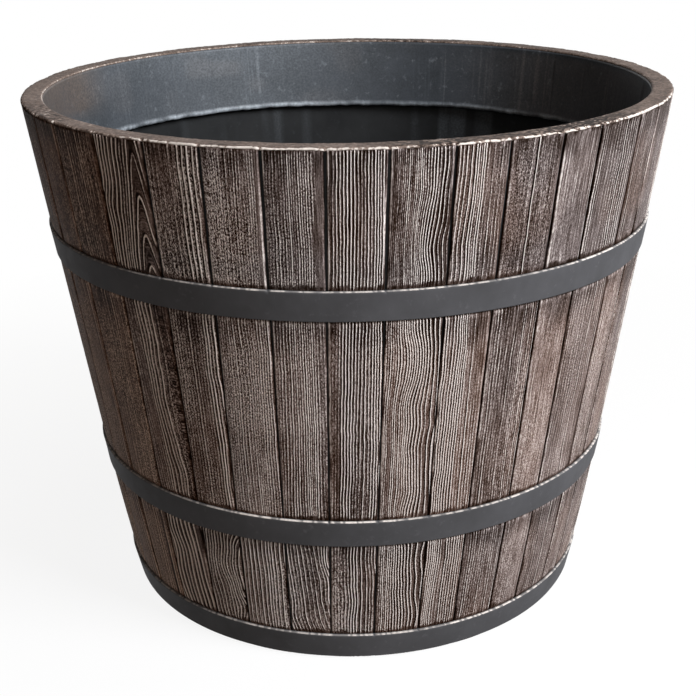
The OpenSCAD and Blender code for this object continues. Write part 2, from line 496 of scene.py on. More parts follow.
dark_brown = look(
    pitch=2.6, bold=0.3, faint=0.15, speckle=0.9, lift=-0.09, warm=0.9, tint="#f3e0d0", edge=0.7, line=1.6,
    middle=dict(open=1.2, bold=0.35, faint=0.2, speckle=1.1, lift=-0.07),
    base=dict(open=1.3, bold=0.65, faint=0.5, warm=0.8))
flowing = look(
    pitch=2.25, crowd=1.4, bold=2.6, bold_at=0.2, bold_reach=0.5, faint=1.8, wave=2.2, heart=10.5,
    arch_foot=236.0, arch=3.0, warm=0.65, lift=-0.09, tint="#fdf3ec", edge=0.8, line=1.6,
    middle=dict(heart=14.0, lean=-0.07, open=1.25, calm=1.0, bold=2.4, bold_at=0.62, bold_reach=0.3,
                faint=0.3, speckle=0.9),
    base=dict(heart=20.0, lean=-0.08, open=2.2, calm=0.0, bold=3.0, bold_at=0.2, bold_reach=0.5,
              faint=2.3, speckle=0.4, warm=0.45))
bold_right = look(
    pitch=2.5, bold=2.5, bold_at=0.95, bold_reach=0.4, faint=0.35, speckle=1.3, wave=1.2, warm=0.55,
    lift=-0.1, tint="#fdf6f1", edge=0.8, line=1.5,
    middle=dict(pitch=1.9, bold=1.7, bold_reach=0.3, speckle=1.05, edge=0.4),
    base=dict(pitch=2.4, line=1.2, bold=1.9, bold_at=0.6, bold_reach=0.5, faint=1.3, wave=4.5,
              speckle=0.8, warm=0.2))
speckled = look(
    pitch=1.6, bold_at=0.75, bold_reach=0.5, speckle=1.1, edge=0.9, bare=2.5, warm=0.65,
    middle=dict(bare=0.0, edge=0.4),
    base=dict(open=1.5, bold=1.4, faint=1.0, warm=0.4))
fine_lines = look(
    pitch=1.5, bold=0.65, faint=0.4, speckle=0.8, bare=5.0, warm=0.35, lift=-0.01,
    middle=dict(bare=0.0, speckle=0.7),
    base=dict(pitch=2.1, bold=1.4, faint=0.9, wave=2.4, lean=-0.08, speckle=1.0))
bold_straight = look(
    pitch=1.75, bold=2.4, bold_at=0.7, faint=1.3, speckle=0.35, wave=0.3, bare=-0.5, edge=0.9, lift=-0.06,
    middle=dict(bold_at=0.8, bold_reach=0.5, faint=0.8, speckle=0.5, wave=0.5),
    base=dict(bold=2.1, bold_at=0.65, bold_reach=0.35, faint=0.5, speckle=0.8, wave=1.6, open=1.1))
wavy = look(
    pitch=2.2, crowd=1.7, bold=1.1, bold_at=0.85, bold_reach=0.4, faint=0.5, speckle=0.35, wave=2.0,
    heart=27.0, warm=0.4, lift=-0.06, edge=0.8,
    middle=dict(bold=1.6, bold_at=0.75, bold_reach=0.45, open=1.25, wave=2.6),
    base=dict(bold=1.9, faint=0.7, open=1.4, speckle=0.6))
bold_left = look(
    pitch=1.95, bold=2.4, bold_at=0.1, bold_reach=0.4, faint=0.45, speckle=0.45, wave=0.8, warm=0.7,
    lift=0.02, edge=0.7,
    middle=dict(pitch=1.6, bold=2.0, bold_reach=0.45),
    base=dict(pitch=1.5, bold=1.0, faint=0.6, bold_reach=0.6))
grey_speckled = look(
    pitch=2.3, bold=3.0, bold_at=0.47, bold_reach=0.05, faint=0.12, speckle=0.6, warm=0.4, lift=-0.03,
    patchy=0.14, edge=0.6,
    middle=dict(pitch=1.7, bold=0.4, bold_at=0.6, bold_reach=0.5, faint=0.3, speckle=0.4, lift=-0.02))
smooth_grey = look(
    pitch=2.4, bold=0.14, faint=0.1, warm=0.25, lift=0.15, bare=1.5, edge=1.1,
    middle=dict(warm=0.45, lift=0.12, edge=0.4),
    base=dict(warm=0.6, lift=0.05))
fine_pale = look(
    pitch=2.4, bold=0.9, bold_at=0.8, bold_reach=0.35, faint=0.35, wave=1.4, bare=2.0, edge=0.3, warm=0.2,
    lift=0.05,
    middle=dict(warm=0.35, bold=0.5),
    base=dict(lift=0.0))
warm_smooth = look(
    pitch=2.4, bold=0.25, faint=0.15, warm=0.35, lift=0.08, edge=0.3,
    middle=dict(warm=0.45))

front_looks = [dark_brown, flowing, bold_right, speckled, fine_lines, bold_straight, wavy, bold_left,
               grey_speckled, smooth_grey, fine_pale, warm_smooth]
other_looks = [warm_smooth, bold_straight, speckled, wavy, smooth_grey, bold_left, flowing, fine_lines,
               grey_speckled, bold_right, warm_smooth, speckled, bold_straight]
far_left_looks = [dark_brown, dark_brown]
others = len(stave_widths) - len(front_looks) - len(far_left_looks)
looks = front_looks + [other_looks[i % len(other_looks)] for i in range(others)] + far_left_looks
print(len(looks), "staves have a look")

# %% The number of rings from the heart
ARCH_SLOPE = 0.165
ARCH_REACH = 26.0
ARCH_LENGTH = 90.0
CROWD_MM = 25.0
STAVE_MM = 34.0
LEAN_MIDDLE = 170.0


def bold_zone(u, look):
    """1 where the stave's bold lines are and 0 away from them, from its left edge to its right."""
    return np.exp(-((u / STAVE_MM + 0.5 - look["bold_at"]) / look["bold_reach"]) ** 4)


def ring_count(u, z, look, seed):
    """Rings and mm between the heart and a point u mm from the stave's middle, at height z."""
    drift = look["wave"] * (noise(z / 34, u / 30, seed) + 0.5 * noise(z / 15, u / 14, seed + 1) - 0.75) * 2
    tremble = 0.35 * (noise(z / 5.5, u / 6, seed + 2) - 0.5)
    heart = look["heart"] + look["lean"] * (z - LEAN_MIDDLE)
    off = u + drift * (0.25 + 0.75 * bold_zone(u, look)) + tremble - heart
    away = np.sqrt(off ** 2 + look["arch"] ** 2)
    climb = ARCH_LENGTH * np.tanh(np.maximum(z - look["arch_foot"], 0) / ARCH_LENGTH)
    away = away + ARCH_SLOPE * climb * np.exp(-(off / ARCH_REACH) ** 2)
    spread = 1.6 * noise(away / 6.5, z / 300, seed + 3)
    return CROWD_MM / look["pitch"] * (away / CROWD_MM) ** look["crowd"] + spread, away


def ring_spacing(rings, across, z):
    """Mm from ring to ring, square to them, and -1 to 1 for rings that count to the left or right."""
    sideways = np.gradient(rings, axis=1) / np.gradient(across, axis=1)
    upwards = np.gradient(rings, axis=0) / np.gradient(z, axis=0)
    steepness = np.hypot(sideways, upwards) + 0.02
    return np.clip(1 / steepness, 0.7, 9.0), sideways / steepness


def ridge_of(rings, spacing):
    """Height of the grain from 0 in the valleys to 1 on the crests, which are all about as wide."""
    return fade(0.15, 0.7, np.abs(rings % 1 - 0.5) * spacing)


sample, _ = ring_count(np.linspace(-15, 15, 7), np.full(7, 280.0), bold_straight[-1], 1)
print("rings across a bold stave:", np.round(sample, 2))

# %% [markdown]
# ## The staves' relief
# The staves are raised parts of one skin. They are built as closed slabs, four to a piece, because a slab
# can carry its grain as real geometry without one mesh of a million faces. Their sides go down into the
# joints, and their backs lie inside the wall that comes later. Rows are close where the staves show, and
# the stretches behind the bands are left plain.

# %% Rows and columns of the skin
ROW_MM = 1.25
FRONT_COLUMNS = 74
STAVE_FOOT = 0.3
STAVE_TOP = barrel_h - 1.4
BESIDE_BAND = 0.3
NO_BAND = 999.0

ends = [end for low, high in band_spans for end in (low - BESIDE_BAND, high + BESIDE_BAND)]
tier_ends = [STAVE_FOOT] + ends + [STAVE_TOP]
heights = []
for low, high in zip(tier_ends[0::2], tier_ends[1::2]):
    rows = max(2, int((high - low) / ROW_MM) + 1)
    heights += list(np.linspace(low, high, rows))
heights = np.array(heights)
print(len(heights), "rows of points up each stave")


def band_distance(z):
    """How many mm height z is under the next band up, and over the next band down."""
    under = np.min([np.where(z <= low, low - z, NO_BAND) for low, high in band_spans], axis=0)
    over = np.min([np.where(z >= high, z - high, NO_BAND) for low, high in band_spans], axis=0)
    return under, over


def look_by_row(number):
    """The look of each row of points up a stave: a column of values for each name."""
    tier = np.searchsorted(TIER_TOPS, heights)
    names = [name for name in PLAIN if name != "tint"]
    return {name: np.array([look[name] for look in looks[number]])[tier][:, None] for name in names}


# %% The skin of one stave
EDGE_ROUND = 1.0
RIDGE_MM = 0.32
SPECKLE_MM = 0.14
UNEVEN_MM = 0.35


def stave_skin(number):
    """One stave's outer face: mm from its left joint, relief, and the values that its paint needs."""
    look = look_by_row(number)
    seed = 40 + 11 * number
    z = heights[:, None]
    start, end = joint_turn(number, z), joint_turn(number + 1, z)
    width = (end - start) * side_r(z)

    def soft(wide, tall, which):
        """Noise with spots of that many mm on this stave."""
        return noise(u / wide, z / tall, seed + which)

    def along(tall, row, which):
        """Noise that changes only up the stave."""
        return noise(z / tall, row, seed + which)

    # The open joints are wider high up and at the planter's sides
    half_gap = 0.3 + 0.3 * step(200, 290, z) + 0.4 * step(0.3, 0.9, np.abs(np.cos(start)))
    left_edge = half_gap + 0.3 * along(17, 0, 4)
    right_edge = half_gap + 0.3 * along(17, 9, 4)
    share = np.linspace(0, 1, FRONT_COLUMNS)[None, :]
    d = left_edge + share * (width - left_edge - right_edge)
    u = d - width / 2
    z = np.broadcast_to(z, d.shape)
    to_left, to_right = d - left_edge, width - right_edge - d
    to_edge = np.minimum(to_left, to_right)
    under, over = band_distance(z)
    below_top = np.minimum(under, barrel_h - z)

    # How strong each line is
    rings, flow = ring_count(u, z, look, seed)
    spacing, side = ring_spacing(rings, d, z)
    rings, spacing = rings / look["open"], spacing * np.sqrt(look["open"]) / look["line"]
    strength = 0.25 + 0.8 * scrambled(np.floor(rings), 0, seed + 5) ** 1.5
    strength = strength * (0.35 + 0.75 * noise(rings * 0.9, z / 38, seed + 6))
    strength = strength * (0.65 + 0.7 * soft(30, 75, 15))
    zone = look["faint"] + (look["bold"] - look["faint"]) * bold_zone(u, look)
    calm = look["calm"] * fade(5, 9, flow)

    # Plain strips without grain, and bare ends and edges without paint; just under the rim and under each
    # band the bare stretch is partly painted shade
    strip = np.abs(look["bare"]) * (0.75 + 0.5 * along(25, 3, 7))
    strip_side = np.where(look["bare"] > 0, to_right, to_left)
    smooth = np.where(look["bare"] == 0, 0.0, fade(strip - 0.6, strip + 0.8, strip_side))
    top_strip = fade(1.6, 3.4, to_right + 1.2 * along(14, 6, 7))
    smooth = np.maximum(smooth, 0.8 * top_strip * step(245, 255, z))
    foot_bare = (0.9 + 1.8 * noise(u / 7, number, seed + 8)) * (0.6 + 0.8 * noise(u / 1.5, 7, seed + 8))
    bare = np.max([fade(foot_bare, foot_bare + 1.2, over), 0.4 * fade(0.2, 0.9, under),
                   0.9 * fade(0.8, 3.2, barrel_h - z + 1.5 * noise(u / 2, 2, seed + 9) - 1.2),
                   fade(0.0, 0.55, to_edge)], axis=0)
    plain = np.maximum(bare, smooth)
    # Painted shade, together with thinner paint: darker, greyer and less speckled for about 20 mm under the
    # rim and each band
    shaded = fade(2, 20, below_top + 14 * soft(12, 30, 19) - 7)
    gain = strength * zone * (1 - 0.9 * plain) * (1 - 0.8 * calm)
    speckle = look["speckle"] * (0.35 + 0.9 * soft(9, 45, 10)) * (1 - 0.7 * plain) * (1 - 0.4 * shaded)

    # Pale lines on the edges, brush paint and partly a painted highlight, and blobs where the brush met the
    # rim or a band
    left_line = step(0.15, 0.4, to_left) * fade(0.8, 1.4, to_left) * step(0.1, 0.5, along(20, 4, 13))
    right_line = step(0.15, 0.4, to_right) * fade(0.7, 1.3, to_right) * step(0.45, 0.8, along(26, 5, 13))
    edge_paint_and_highlight = look["edge"] * np.maximum(left_line, 0.8 * right_line)
    edge_paint_and_highlight = edge_paint_and_highlight * (0.4 + noise(z / 1.3, u, seed + 17)) * step(0.5, 2.0, over)
    blob = np.exp(-((below_top - 1.9) / 1.1) ** 2) * step(0.45, 0.75, soft(1.3, 4, 18))

    # How much paint there is and how brown, less the painted shade under the rim and the bands: the upper
    # tier is a touch darker and turns grey at its foot
    upper = step(240, 260, z)
    patch = 0.6 * soft(24, 55, 12) + 0.4 * soft(7, 120, 16) - 0.5
    lift = (look["lift"] - 0.1 * calm + look["patchy"] * patch - 0.1 * shaded + 0.3 * blob
            - (0.14 + look["lift"]) * bare + (0.05 - 0.5 * look["lift"]) * smooth
            + 0.65 * edge_paint_and_highlight - 0.03 * upper)
    warmth = look["warm"] + 0.9 * (soft(20, 65, 20) - 0.5) - 0.4 * shaded
    warmth = warmth + upper * (0.2 * np.exp(-((z - 280) / 16) ** 2) - 0.4 - 0.45 * fade(252, 270, z))

    # Ridges, fine roughness, slow unevenness and round edges, and behind the bands nothing that sticks out
    relief = RIDGE_MM * (ridge_of(rings, spacing) - 0.5) * gain
    relief = relief + SPECKLE_MM * (soft(0.95, 2.4, 11) - 0.5) * speckle
    round_off = np.clip(1 - to_edge / EDGE_ROUND, 0, 1) ** 2
    relief = relief + UNEVEN_MM * (soft(16, 80, 14) - 0.5) - 0.7 * round_off
    at_band = fade(0.0, 0.5, np.minimum(under, over))
    seated = np.minimum(relief, 0) * (1 - at_band) - (band_seat + 0.3) * at_band
    relief = np.where(at_band > 0, seated, relief)
    return d, relief, dict(rings=rings, flow=flow, spacing=spacing, side=side, gain=gain, speckle=speckle,
                           lift=lift, warmth=np.clip(warmth + 0.2, 0, 1))


# %% The slab under the skin
SLAB_BACK = 2.3
SLAB_FLARE = 0.05
SLAB_COLUMNS = np.r_[0, 0, 0:FRONT_COLUMNS, -1, -1, 0]
HIDDEN_COLUMNS = [0, 1, -3, -2, -1]
HIDDEN_LIFT = -0.17


def stave_slab(number):
    """One stave's closed slab: its points, and the values for its paint."""
    d, relief, values = stave_skin(number)
    z = heights[:, None]
    radius = side_r(z)
    start = joint_turn(number, z)
    width = (joint_turn(number + 1, z) - start) * radius
    first, last = d[:, :1], d[:, -1:]
    along = np.hstack([first - SLAB_FLARE, first - 0.4 * SLAB_FLARE, d, last + 0.4 * SLAB_FLARE,
                       last + SLAB_FLARE, width / 2])
    low, high = np.full_like(z, -SLAB_BACK), np.full_like(z, -SLAB_BACK / 2 - 0.3)
    turn = start + along / radius
    reach = radius + np.hstack([low, high, relief, high, low, low])
    points = np.stack([reach * np.cos(turn), reach * np.sin(turn), np.broadcast_to(z, turn.shape)], -1)
    values = {name: numbers[:, SLAB_COLUMNS] for name, numbers in values.items()}
    for name, hidden in (("gain", 0), ("speckle", 0), ("lift", HIDDEN_LIFT)):
        values[name][:, HIDDEN_COLUMNS] = hidden
    return points, values


print("a slab is", SLAB_BACK, "mm deep behind the side's own surface")

# %% [markdown]
# ## The staves' paint
# The plastic is polypropylene, moulded nearly black-brown. Its index of refraction is about 1.49. The paint
# is a matt acrylic rubbed on by a dry brush: full on the ridges, broken into specks where the skin is
# rough, and missing from the valleys, the joints and along the bands. On the left of each line, the side
# away from the lamp, lies a thin dark line of painted shade, which the bump also sinks a little. The
# material adds up how much paint each point caught, less that painted shade, and a colour ramp turns it
# into colour. Specks and fine streaks are stretched along the grain: their noise reads the distance from
# the heart, so they bend where the lines do.

# %% Dry-brushed plastic
POLYPROPYLENE_IOR = 1.49
SPECK_LENGTH_MM = 1.1
SPECK_WIDTH_MM = 0.48
STREAK_LENGTH_MM = 16.0
STREAK_WIDTH_MM = 0.8
PAINTED_SHADE_BESIDE_MM = 0.52
DARK_GLOSS = 0.01
PAINT_GLOSS = 0.08


def flowing_noise(tree, width_mm, length_mm, detail):
    """Noise that is fine across the grain and long up the stave."""
    place = add(tree, "SeparateXYZ", {0: add(tree, "TexCoord", output="Object")}).node.outputs
    across = times(tree, value_of(tree, "flow"), 1 / width_mm)
    along = times(tree, place["Z"], 1 / (length_mm * MM))
    turn = times(tree, plus(tree, place["X"], place["Y"]), 9.0)
    spot = add(tree, "CombineXYZ", {0: across, 1: along, 2: turn})
    return add(tree, "TexNoise", {"Vector": spot, "Scale": 1.0, "Detail": detail, "Roughness": 0.6})


brushed, tree, shader = new_material("dry_brushed_polypropylene", POLYPROPYLENE_IOR, PAINT_GLOSS)
spacing = value_of(tree, "spacing")
past_crest = swing(tree, maths(tree, "FRACT", value_of(tree, "rings")), spacing)
# Painted shade: a thin dark line beside each crest, on its left, away from the lamp
beside = maths(tree, "MINIMUM", times(tree, spacing, 0.36), PAINTED_SHADE_BESIDE_MM)
past_painted_shade_line = plus(tree, past_crest, times(tree, value_of(tree, "side"), beside))
crest = remap(tree, maths(tree, "ABSOLUTE", past_crest), 0.37, 0.08, interpolation_type="SMOOTHSTEP")
painted_shade_line = remap(tree, maths(tree, "ABSOLUTE", past_painted_shade_line), 0.45, 0.1, interpolation_type="SMOOTHSTEP")
specks = flowing_noise(tree, SPECK_WIDTH_MM, SPECK_LENGTH_MM, 3.0)
streaks = flowing_noise(tree, STREAK_WIDTH_MM, STREAK_LENGTH_MM, 4.0)
broken = remap(tree, specks, 0.3, 0.7, 0.5, 1.5)
line = maths(tree, "SUBTRACT", times(tree, crest, times(tree, broken, 1.95)), times(tree, painted_shade_line, 0.9))
rough_line = times(tree, line, value_of(tree, "gain"))
speck_paint = times(tree, remap(tree, specks, 0.42, 0.66, -0.25, 1.0), value_of(tree, "speckle"))
paint = rough_line
for part in (times(tree, speck_paint, 0.75), swing(tree, streaks, 1.1), value_of(tree, "lift"), 0.36):
    paint = plus(tree, paint, part)
cool = ramp(tree, paint, (0.0, "#0f0603"), (0.2, "#291e17"), (0.4, "#5d5351"), (0.62, "#958b8a"),
            (1.0, "#f4eeea"))
warm = ramp(tree, paint, (0.0, "#120500"), (0.2, "#301d11"), (0.4, "#68544a"), (0.62, "#a4928c"),
            (1.0, "#f4ebe5"))
colour = mixed(tree, value_of(tree, "warmth"), cool, warm)
tint = add(tree, "Attribute", output="Color", attribute_name="tint")
tinted = mixed(tree, 1.0, colour, tint, blend_type="MULTIPLY")
gloss = remap(tree, paint, 0.1, 0.7, 0.5, 0.7)
height = plus(tree, times(tree, rough_line, 0.7), times(tree, speck_paint, 0.6))
dress(tree, shader, tinted, gloss, height, 0.55, 0.4)
# Painted shade on the reflections: the shine fades where the paint is darkest, so the valleys stay dark and
# brown
shaded_shine = remap(tree, paint, 0.05, 0.35, DARK_GLOSS, PAINT_GLOSS)
tree.links.new(shaded_shine, shader.inputs["Specular IOR Level"])

# %% Stave pieces
STAVES_PER_PIECE = 4
CAP_SHARE = 0.012
BACK_SHARE = 0.07
STAVE_MARGIN = 0.01


def stave_uv(columns, i, j, place):
    """UV of the corners of a slab's quads: the stave upright, its back squeezed into a narrow strip."""
    across = np.concatenate([np.linspace(0, 1 - BACK_SHARE, columns - 1), [1 - BACK_SHARE / 2, 1.0]])
    upright = CAP_SHARE + (1 - 2 * CAP_SHARE) * (heights - heights[0]) / (heights[-1] - heights[0])
    u = np.stack([across[j], across[j + 1], across[j + 1], across[j]], 1)
    v = np.stack([upright[i], upright[i], upright[i + 1], upright[i + 1]], 1)
    return np.stack([in_strip(place, u, STAVES_PER_PIECE, STAVE_MARGIN), v], -1)


def stave_piece(name, numbers):
    """Joins a few neighbouring staves' slabs into one piece."""
    points, faces, uv, caps, values, tints = [], [], [], [], {}, []
    offset = 0
    for place, number in enumerate(numbers):
        slab, slab_values = stave_slab(number)
        rows, columns = slab.shape[:2]
        slab_faces, i, j = grid_faces(rows, columns, wrap=False)
        across = in_strip(place, np.linspace(0, 1, columns), STAVES_PER_PIECE, STAVE_MARGIN)
        bulge = CAP_SHARE * np.sin(np.linspace(0, math.pi, columns))
        bottom = offset + np.arange(columns)[::-1]
        top = offset + (rows - 1) * columns + np.arange(columns)
        caps.append((bottom, np.stack([across[::-1], CAP_SHARE - bulge], 1)))
        caps.append((top, np.stack([across, 1 - CAP_SHARE + bulge], 1)))
        points.append(slab.reshape(-1, 3))
        faces.append(slab_faces + offset)
        uv.append(stave_uv(columns, i, j, place))
        for value, numbers_on in slab_values.items():
            values.setdefault(value, []).append(numbers_on.ravel())
        tints.append(np.tile(linear(looks[number][-1]["tint"]), (rows * columns, 1)))
        offset += rows * columns
    mesh = make_mesh(name, np.concatenate(points), np.concatenate(faces), np.concatenate(uv), caps)
    add_piece(name, mesh, brushed, **{value: np.concatenate(parts) for value, parts in values.items()})
    layer = mesh.attributes.new("tint", "FLOAT_COLOR", "POINT")
    layer.data.foreach_set("color", np.concatenate(tints).astype(np.float32).ravel())


for group, first in enumerate(range(0, len(stave_widths), STAVES_PER_PIECE), 1):
    stave_piece("staves_%d" % group, range(first, min(first + STAVES_PER_PIECE, len(stave_widths))))

# %% [markdown]
# ## Rings turned on the pot's axis
# The rim, the skirt, the wall and the bands all go once round. Each is a closed outline in radius and
# height, walked clockwise so that its faces look outwards, and carried round in small steps. The outline
# may change with the angle, which is how chips, notches and a slightly uneven edge get in.

# %% Helpers for rings
SECTOR_MARGIN = 0.03


def walk(outline, spacing):
    """Points along a closed outline, no further apart than spacing, with its own corners kept."""
    places = []
    for (r0, z0), (r1, z1) in zip(outline, outline[1:] + outline[:1]):
        count = max(1, math.ceil(math.hypot(r1 - r0, z1 - z0) / spacing))
        places += [(r0 + (r1 - r0) * k / count, z0 + (z1 - z0) * k / count) for k in range(count)]
    return np.array(places)


def arc(r, z, radius, start, stop, steps=6):
    """Points of an arc about (r, z) in the outline's plane, in degrees."""
    turns = np.radians(np.linspace(start, stop, steps))
    return [(float(r + radius * np.cos(t)), float(z + radius * np.sin(t))) for t in turns]


def swept(outline, steps, radius):
    """An outline carried round: its angles, a noise for it, and its radii and heights by angle."""
    turns = np.linspace(0, 2 * math.pi, steps, endpoint=False)[:, None]

    def ripple(every_mm, y, seed):
        """Noise with a new value every so many mm round the ring."""
        return noise(turns * radius / every_mm, y, seed)

    return turns, ripple, np.tile(outline[:, 0], (steps, 1)), np.tile(outline[:, 1], (steps, 1))


def ring_mesh(name, turns, r, z, sectors):
    """A closed ring from radii and heights, with its UV cut into sectors that lie side by side."""
    rows, columns = r.shape
    points = np.stack([r * np.cos(turns), r * np.sin(turns), z], -1)
    faces, i, j = grid_faces(rows, columns, wrap=True)
    gaps = np.hypot(np.diff(r[0], append=r[0, 0]), np.diff(z[0], append=z[0, 0]))
    share = np.concatenate([[0], np.cumsum(gaps)]) / gaps.sum()
    per_sector = math.ceil(rows / sectors)
    sector, inside = i // per_sector, i % per_sector
    low, high = inside / per_sector, (inside + 1) / per_sector
    near, far = (in_strip(sector, share[column], sectors, SECTOR_MARGIN) for column in (j, j + 1))
    uv = np.stack([np.stack([low, low, high, high], 1), np.stack([near, far, far, near], 1)], -1)
    return make_mesh(name, points.reshape(-1, 3), faces, uv)


def joint_nearness(turns, z, half_width_mm):
    """1 on a joint line, falling to 0 at half_width_mm from it, for each angle at height z."""
    lines = np.array([joint_turn(n, z) for n in range(len(stave_widths))])
    gap = np.abs((turns - lines + math.pi) % (2 * math.pi) - math.pi).min(1, keepdims=True)
    return fade(0, half_width_mm, gap * float(side_r(z)))


print("an outline of a 10 mm square has", len(walk([(0, 0), (0, 10), (10, 10), (10, 0)], 2)), "points")

# %% [markdown]
# ## Smooth moulded plastic
# The bands and the inside are the bare plastic, as it came from the mould: dark charcoal with a satin skin,
# rubbed pale along its sharp edges. Two slightly different greys are mixed by soft noise, with small scuffs
# and, on the inside, dust that settled in grains. On the skirt that pale layer is also painted light,
# lighter on the left inside and a weak warm fill on the right. A fine bump stands for the mould's own
# texture.

# %% Charcoal plastic
# Colours of the dust, which on the skirt also paint light: cool on its lit left inside, warm for a fill on
# its right
COOL_DUST_AND_LIGHT = linear("#7d8389")
WARM_DUST_AND_FILL = linear("#75685f")


def charcoal(name, dark, pale, scuff, edge, roughness, gloss_level):
    """Satin plastic with mottling, scuffs, dust that also carries painted light, and an edge that the brush
    caught.
    """
    material, tree, shader = new_material(name, POLYPROPYLENE_IOR, gloss_level)
    cloud = spots(tree, 38, 4.0, 0.6)
    fine = spots(tree, 1.4, 2.0, 0.55)
    marks = spots(tree, 5.5, 5.0, 0.7)
    skin = mixed(tree, remap(tree, marks, 0.58, 0.74, 0.0, 0.5), ramp(tree, cloud, (0.3, dark), (0.7, pale)),
                 linear(scuff))
    # The dust layer also carries the skirt's painted light
    dusty = times(tree, value_of(tree, "dust"), remap(tree, fine, 0.35, 0.7, 0.45, 1.0))
    skin = mixed(tree, dusty, skin, mixed(tree, value_of(tree, "warm_dust"), COOL_DUST_AND_LIGHT, WARM_DUST_AND_FILL))
    rubbed = times(tree, value_of(tree, "rubbed"), remap(tree, fine, 0.3, 0.7, 0.78, 1.22))
    gloss = remap(tree, marks, 0.3, 0.7, roughness - 0.05, roughness + 0.1)
    dress(tree, shader, mixed(tree, rubbed, skin, linear(edge)), gloss, fine, 0.25, 0.15)
    return material


band_plastic = charcoal("satin_charcoal_plastic", "#4e4e50", "#5b5b5e", "#6f6e72", "#e2dad3", 0.6, 0.06)
inner_plastic = charcoal("inner_charcoal_plastic", "#292d31", "#3c4046", "#83898f", "#cfd8e0", 0.45, 0.25)

# %% Bands
BAND_STEPS = 1500
BAND_ROUND = 0.7


def painted_shade_left(turns):
    """The share of pale rubbing at each angle, dimmed on the planter's left side by painted shade."""
    return 0.4 + 0.6 * step(-0.85, -0.35, np.cos(turns))


def band_piece(name, span, seed):
    """A band whose inner face follows its seat, with rounded edges and chips where the joints end."""
    low, top = span
    low_in, top_in = (float(side_r(z)) - band_seat + band_fit for z in span)
    low_out, top_out = low_in + band_t, top_in + band_t
    outline = walk([(top_in, top)] + arc(top_out - BAND_ROUND, top - BAND_ROUND, BAND_ROUND, 90, 0)
                   + arc(low_out - BAND_ROUND, low + BAND_ROUND, BAND_ROUND, 0, -90) + [(low_in, low)], 1.2)
    turns, ripple, r, z = swept(outline, BAND_STEPS, top_out)
    outer = step(0.5, 1.2, r - low_in - (top_in - low_in) * (z - low) / (top - low))
    upper = step(top - 1.6, top - 0.2, z)
    chip = joint_nearness(turns, top, 1.3) * step(0.35, 0.6, ripple(9, 0, seed))
    ragged = ripple(1.6, 1, seed) * ripple(6, 2, seed)
    z = z - upper * outer * (0.55 * chip + 0.35 * ragged)
    r = r - upper * outer * 0.5 * chip + outer * 0.35 * (ripple(45, z / 12, seed + 1) - 0.5)
    r = r + outer * 0.08 * (ripple(4, z / 4, seed + 2) - 0.5)
    line = step(top_out - 1.0, top_out - 0.7, r) * step(top - 0.6, top - 0.45, z)
    line = line * (0.25 + 0.75 * step(0.3, 0.6, ripple(1.5, 3, seed)))
    # Painted shade dims the pale top line on the planter's left side
    line = line * (0.45 + 0.75 * ripple(35, 4, seed)) * (1 - 0.8 * chip) * painted_shade_left(turns)
    add_piece("%s_skin" % name, ring_mesh(name, turns, r, z, 16), band_plastic, name, "band_plastic",
              rubbed=np.clip(line, 0, 1))


for number, (name, span) in enumerate(zip(band_names, band_spans)):
    band_piece(name, span, 700 + 10 * number)

# %% [markdown]
# ## The rim
# The top of the rim is a flat ring 13 mm wide. It took more of the brush than anything else, so it is a
# mottled brown-pink, with an uneven pale line along its outer edge and a thinner one inside. Each joint
# leaves a small notch in the outer edge. In a few stretches the paint has crackled. The rim has its own
# material, because its paint follows the edges and not any grain.

# %% Paint for the rim
rim_paint, tree, shader = new_material("dry_brushed_rim", POLYPROPYLENE_IOR, 0.06)
mottle = spots(tree, 1.9, 4.0, 0.65)
cloud = spots(tree, 30, 3.0, 0.55)
beside_crack = maths(tree, "ABSOLUTE", maths(tree, "SUBTRACT", spots(tree, 4.5, 2.0), 0.5))
crack = times(tree, remap(tree, beside_crack, 0.0, 0.12, -0.9, 0.3), value_of(tree, "crackle"))
paint = swing(tree, mottle, 1.4)
for part in (swing(tree, cloud, 0.7), 0.5, value_of(tree, "pale"), crack):
    paint = plus(tree, paint, part)
colour = ramp(tree, paint, (0.0, "#221b18"), (0.3, "#493e38"), (0.6, "#70625a"), (0.85, "#92837a"),
              (1.0, "#dad1c9"))
buried = mixed(tree, value_of(tree, "skin"), linear("#1c1917"), colour)
dress(tree, shader, buried, remap(tree, mottle, 0.3, 0.7, 0.48, 0.66), mottle, 0.5, 0.35)

# %% Rim cap
RIM_STEPS = 1800
RIM_DEEP = 4.0
FADED_DEGREES = (352, 14)
CRACKLED_DEGREES = [(308, 11, 1.0), (283, 5, 0.7), (210, 7, 0.5), (75, 9, 0.5)]
skirt_top_in = rim_r - rim_w


def near_angle(turns, middle, width):
    """1 at an angle in degrees from +X, falling to 0 over about the width to both sides."""
    return np.exp(-((np.degrees(turns) - middle) / width) ** 2)


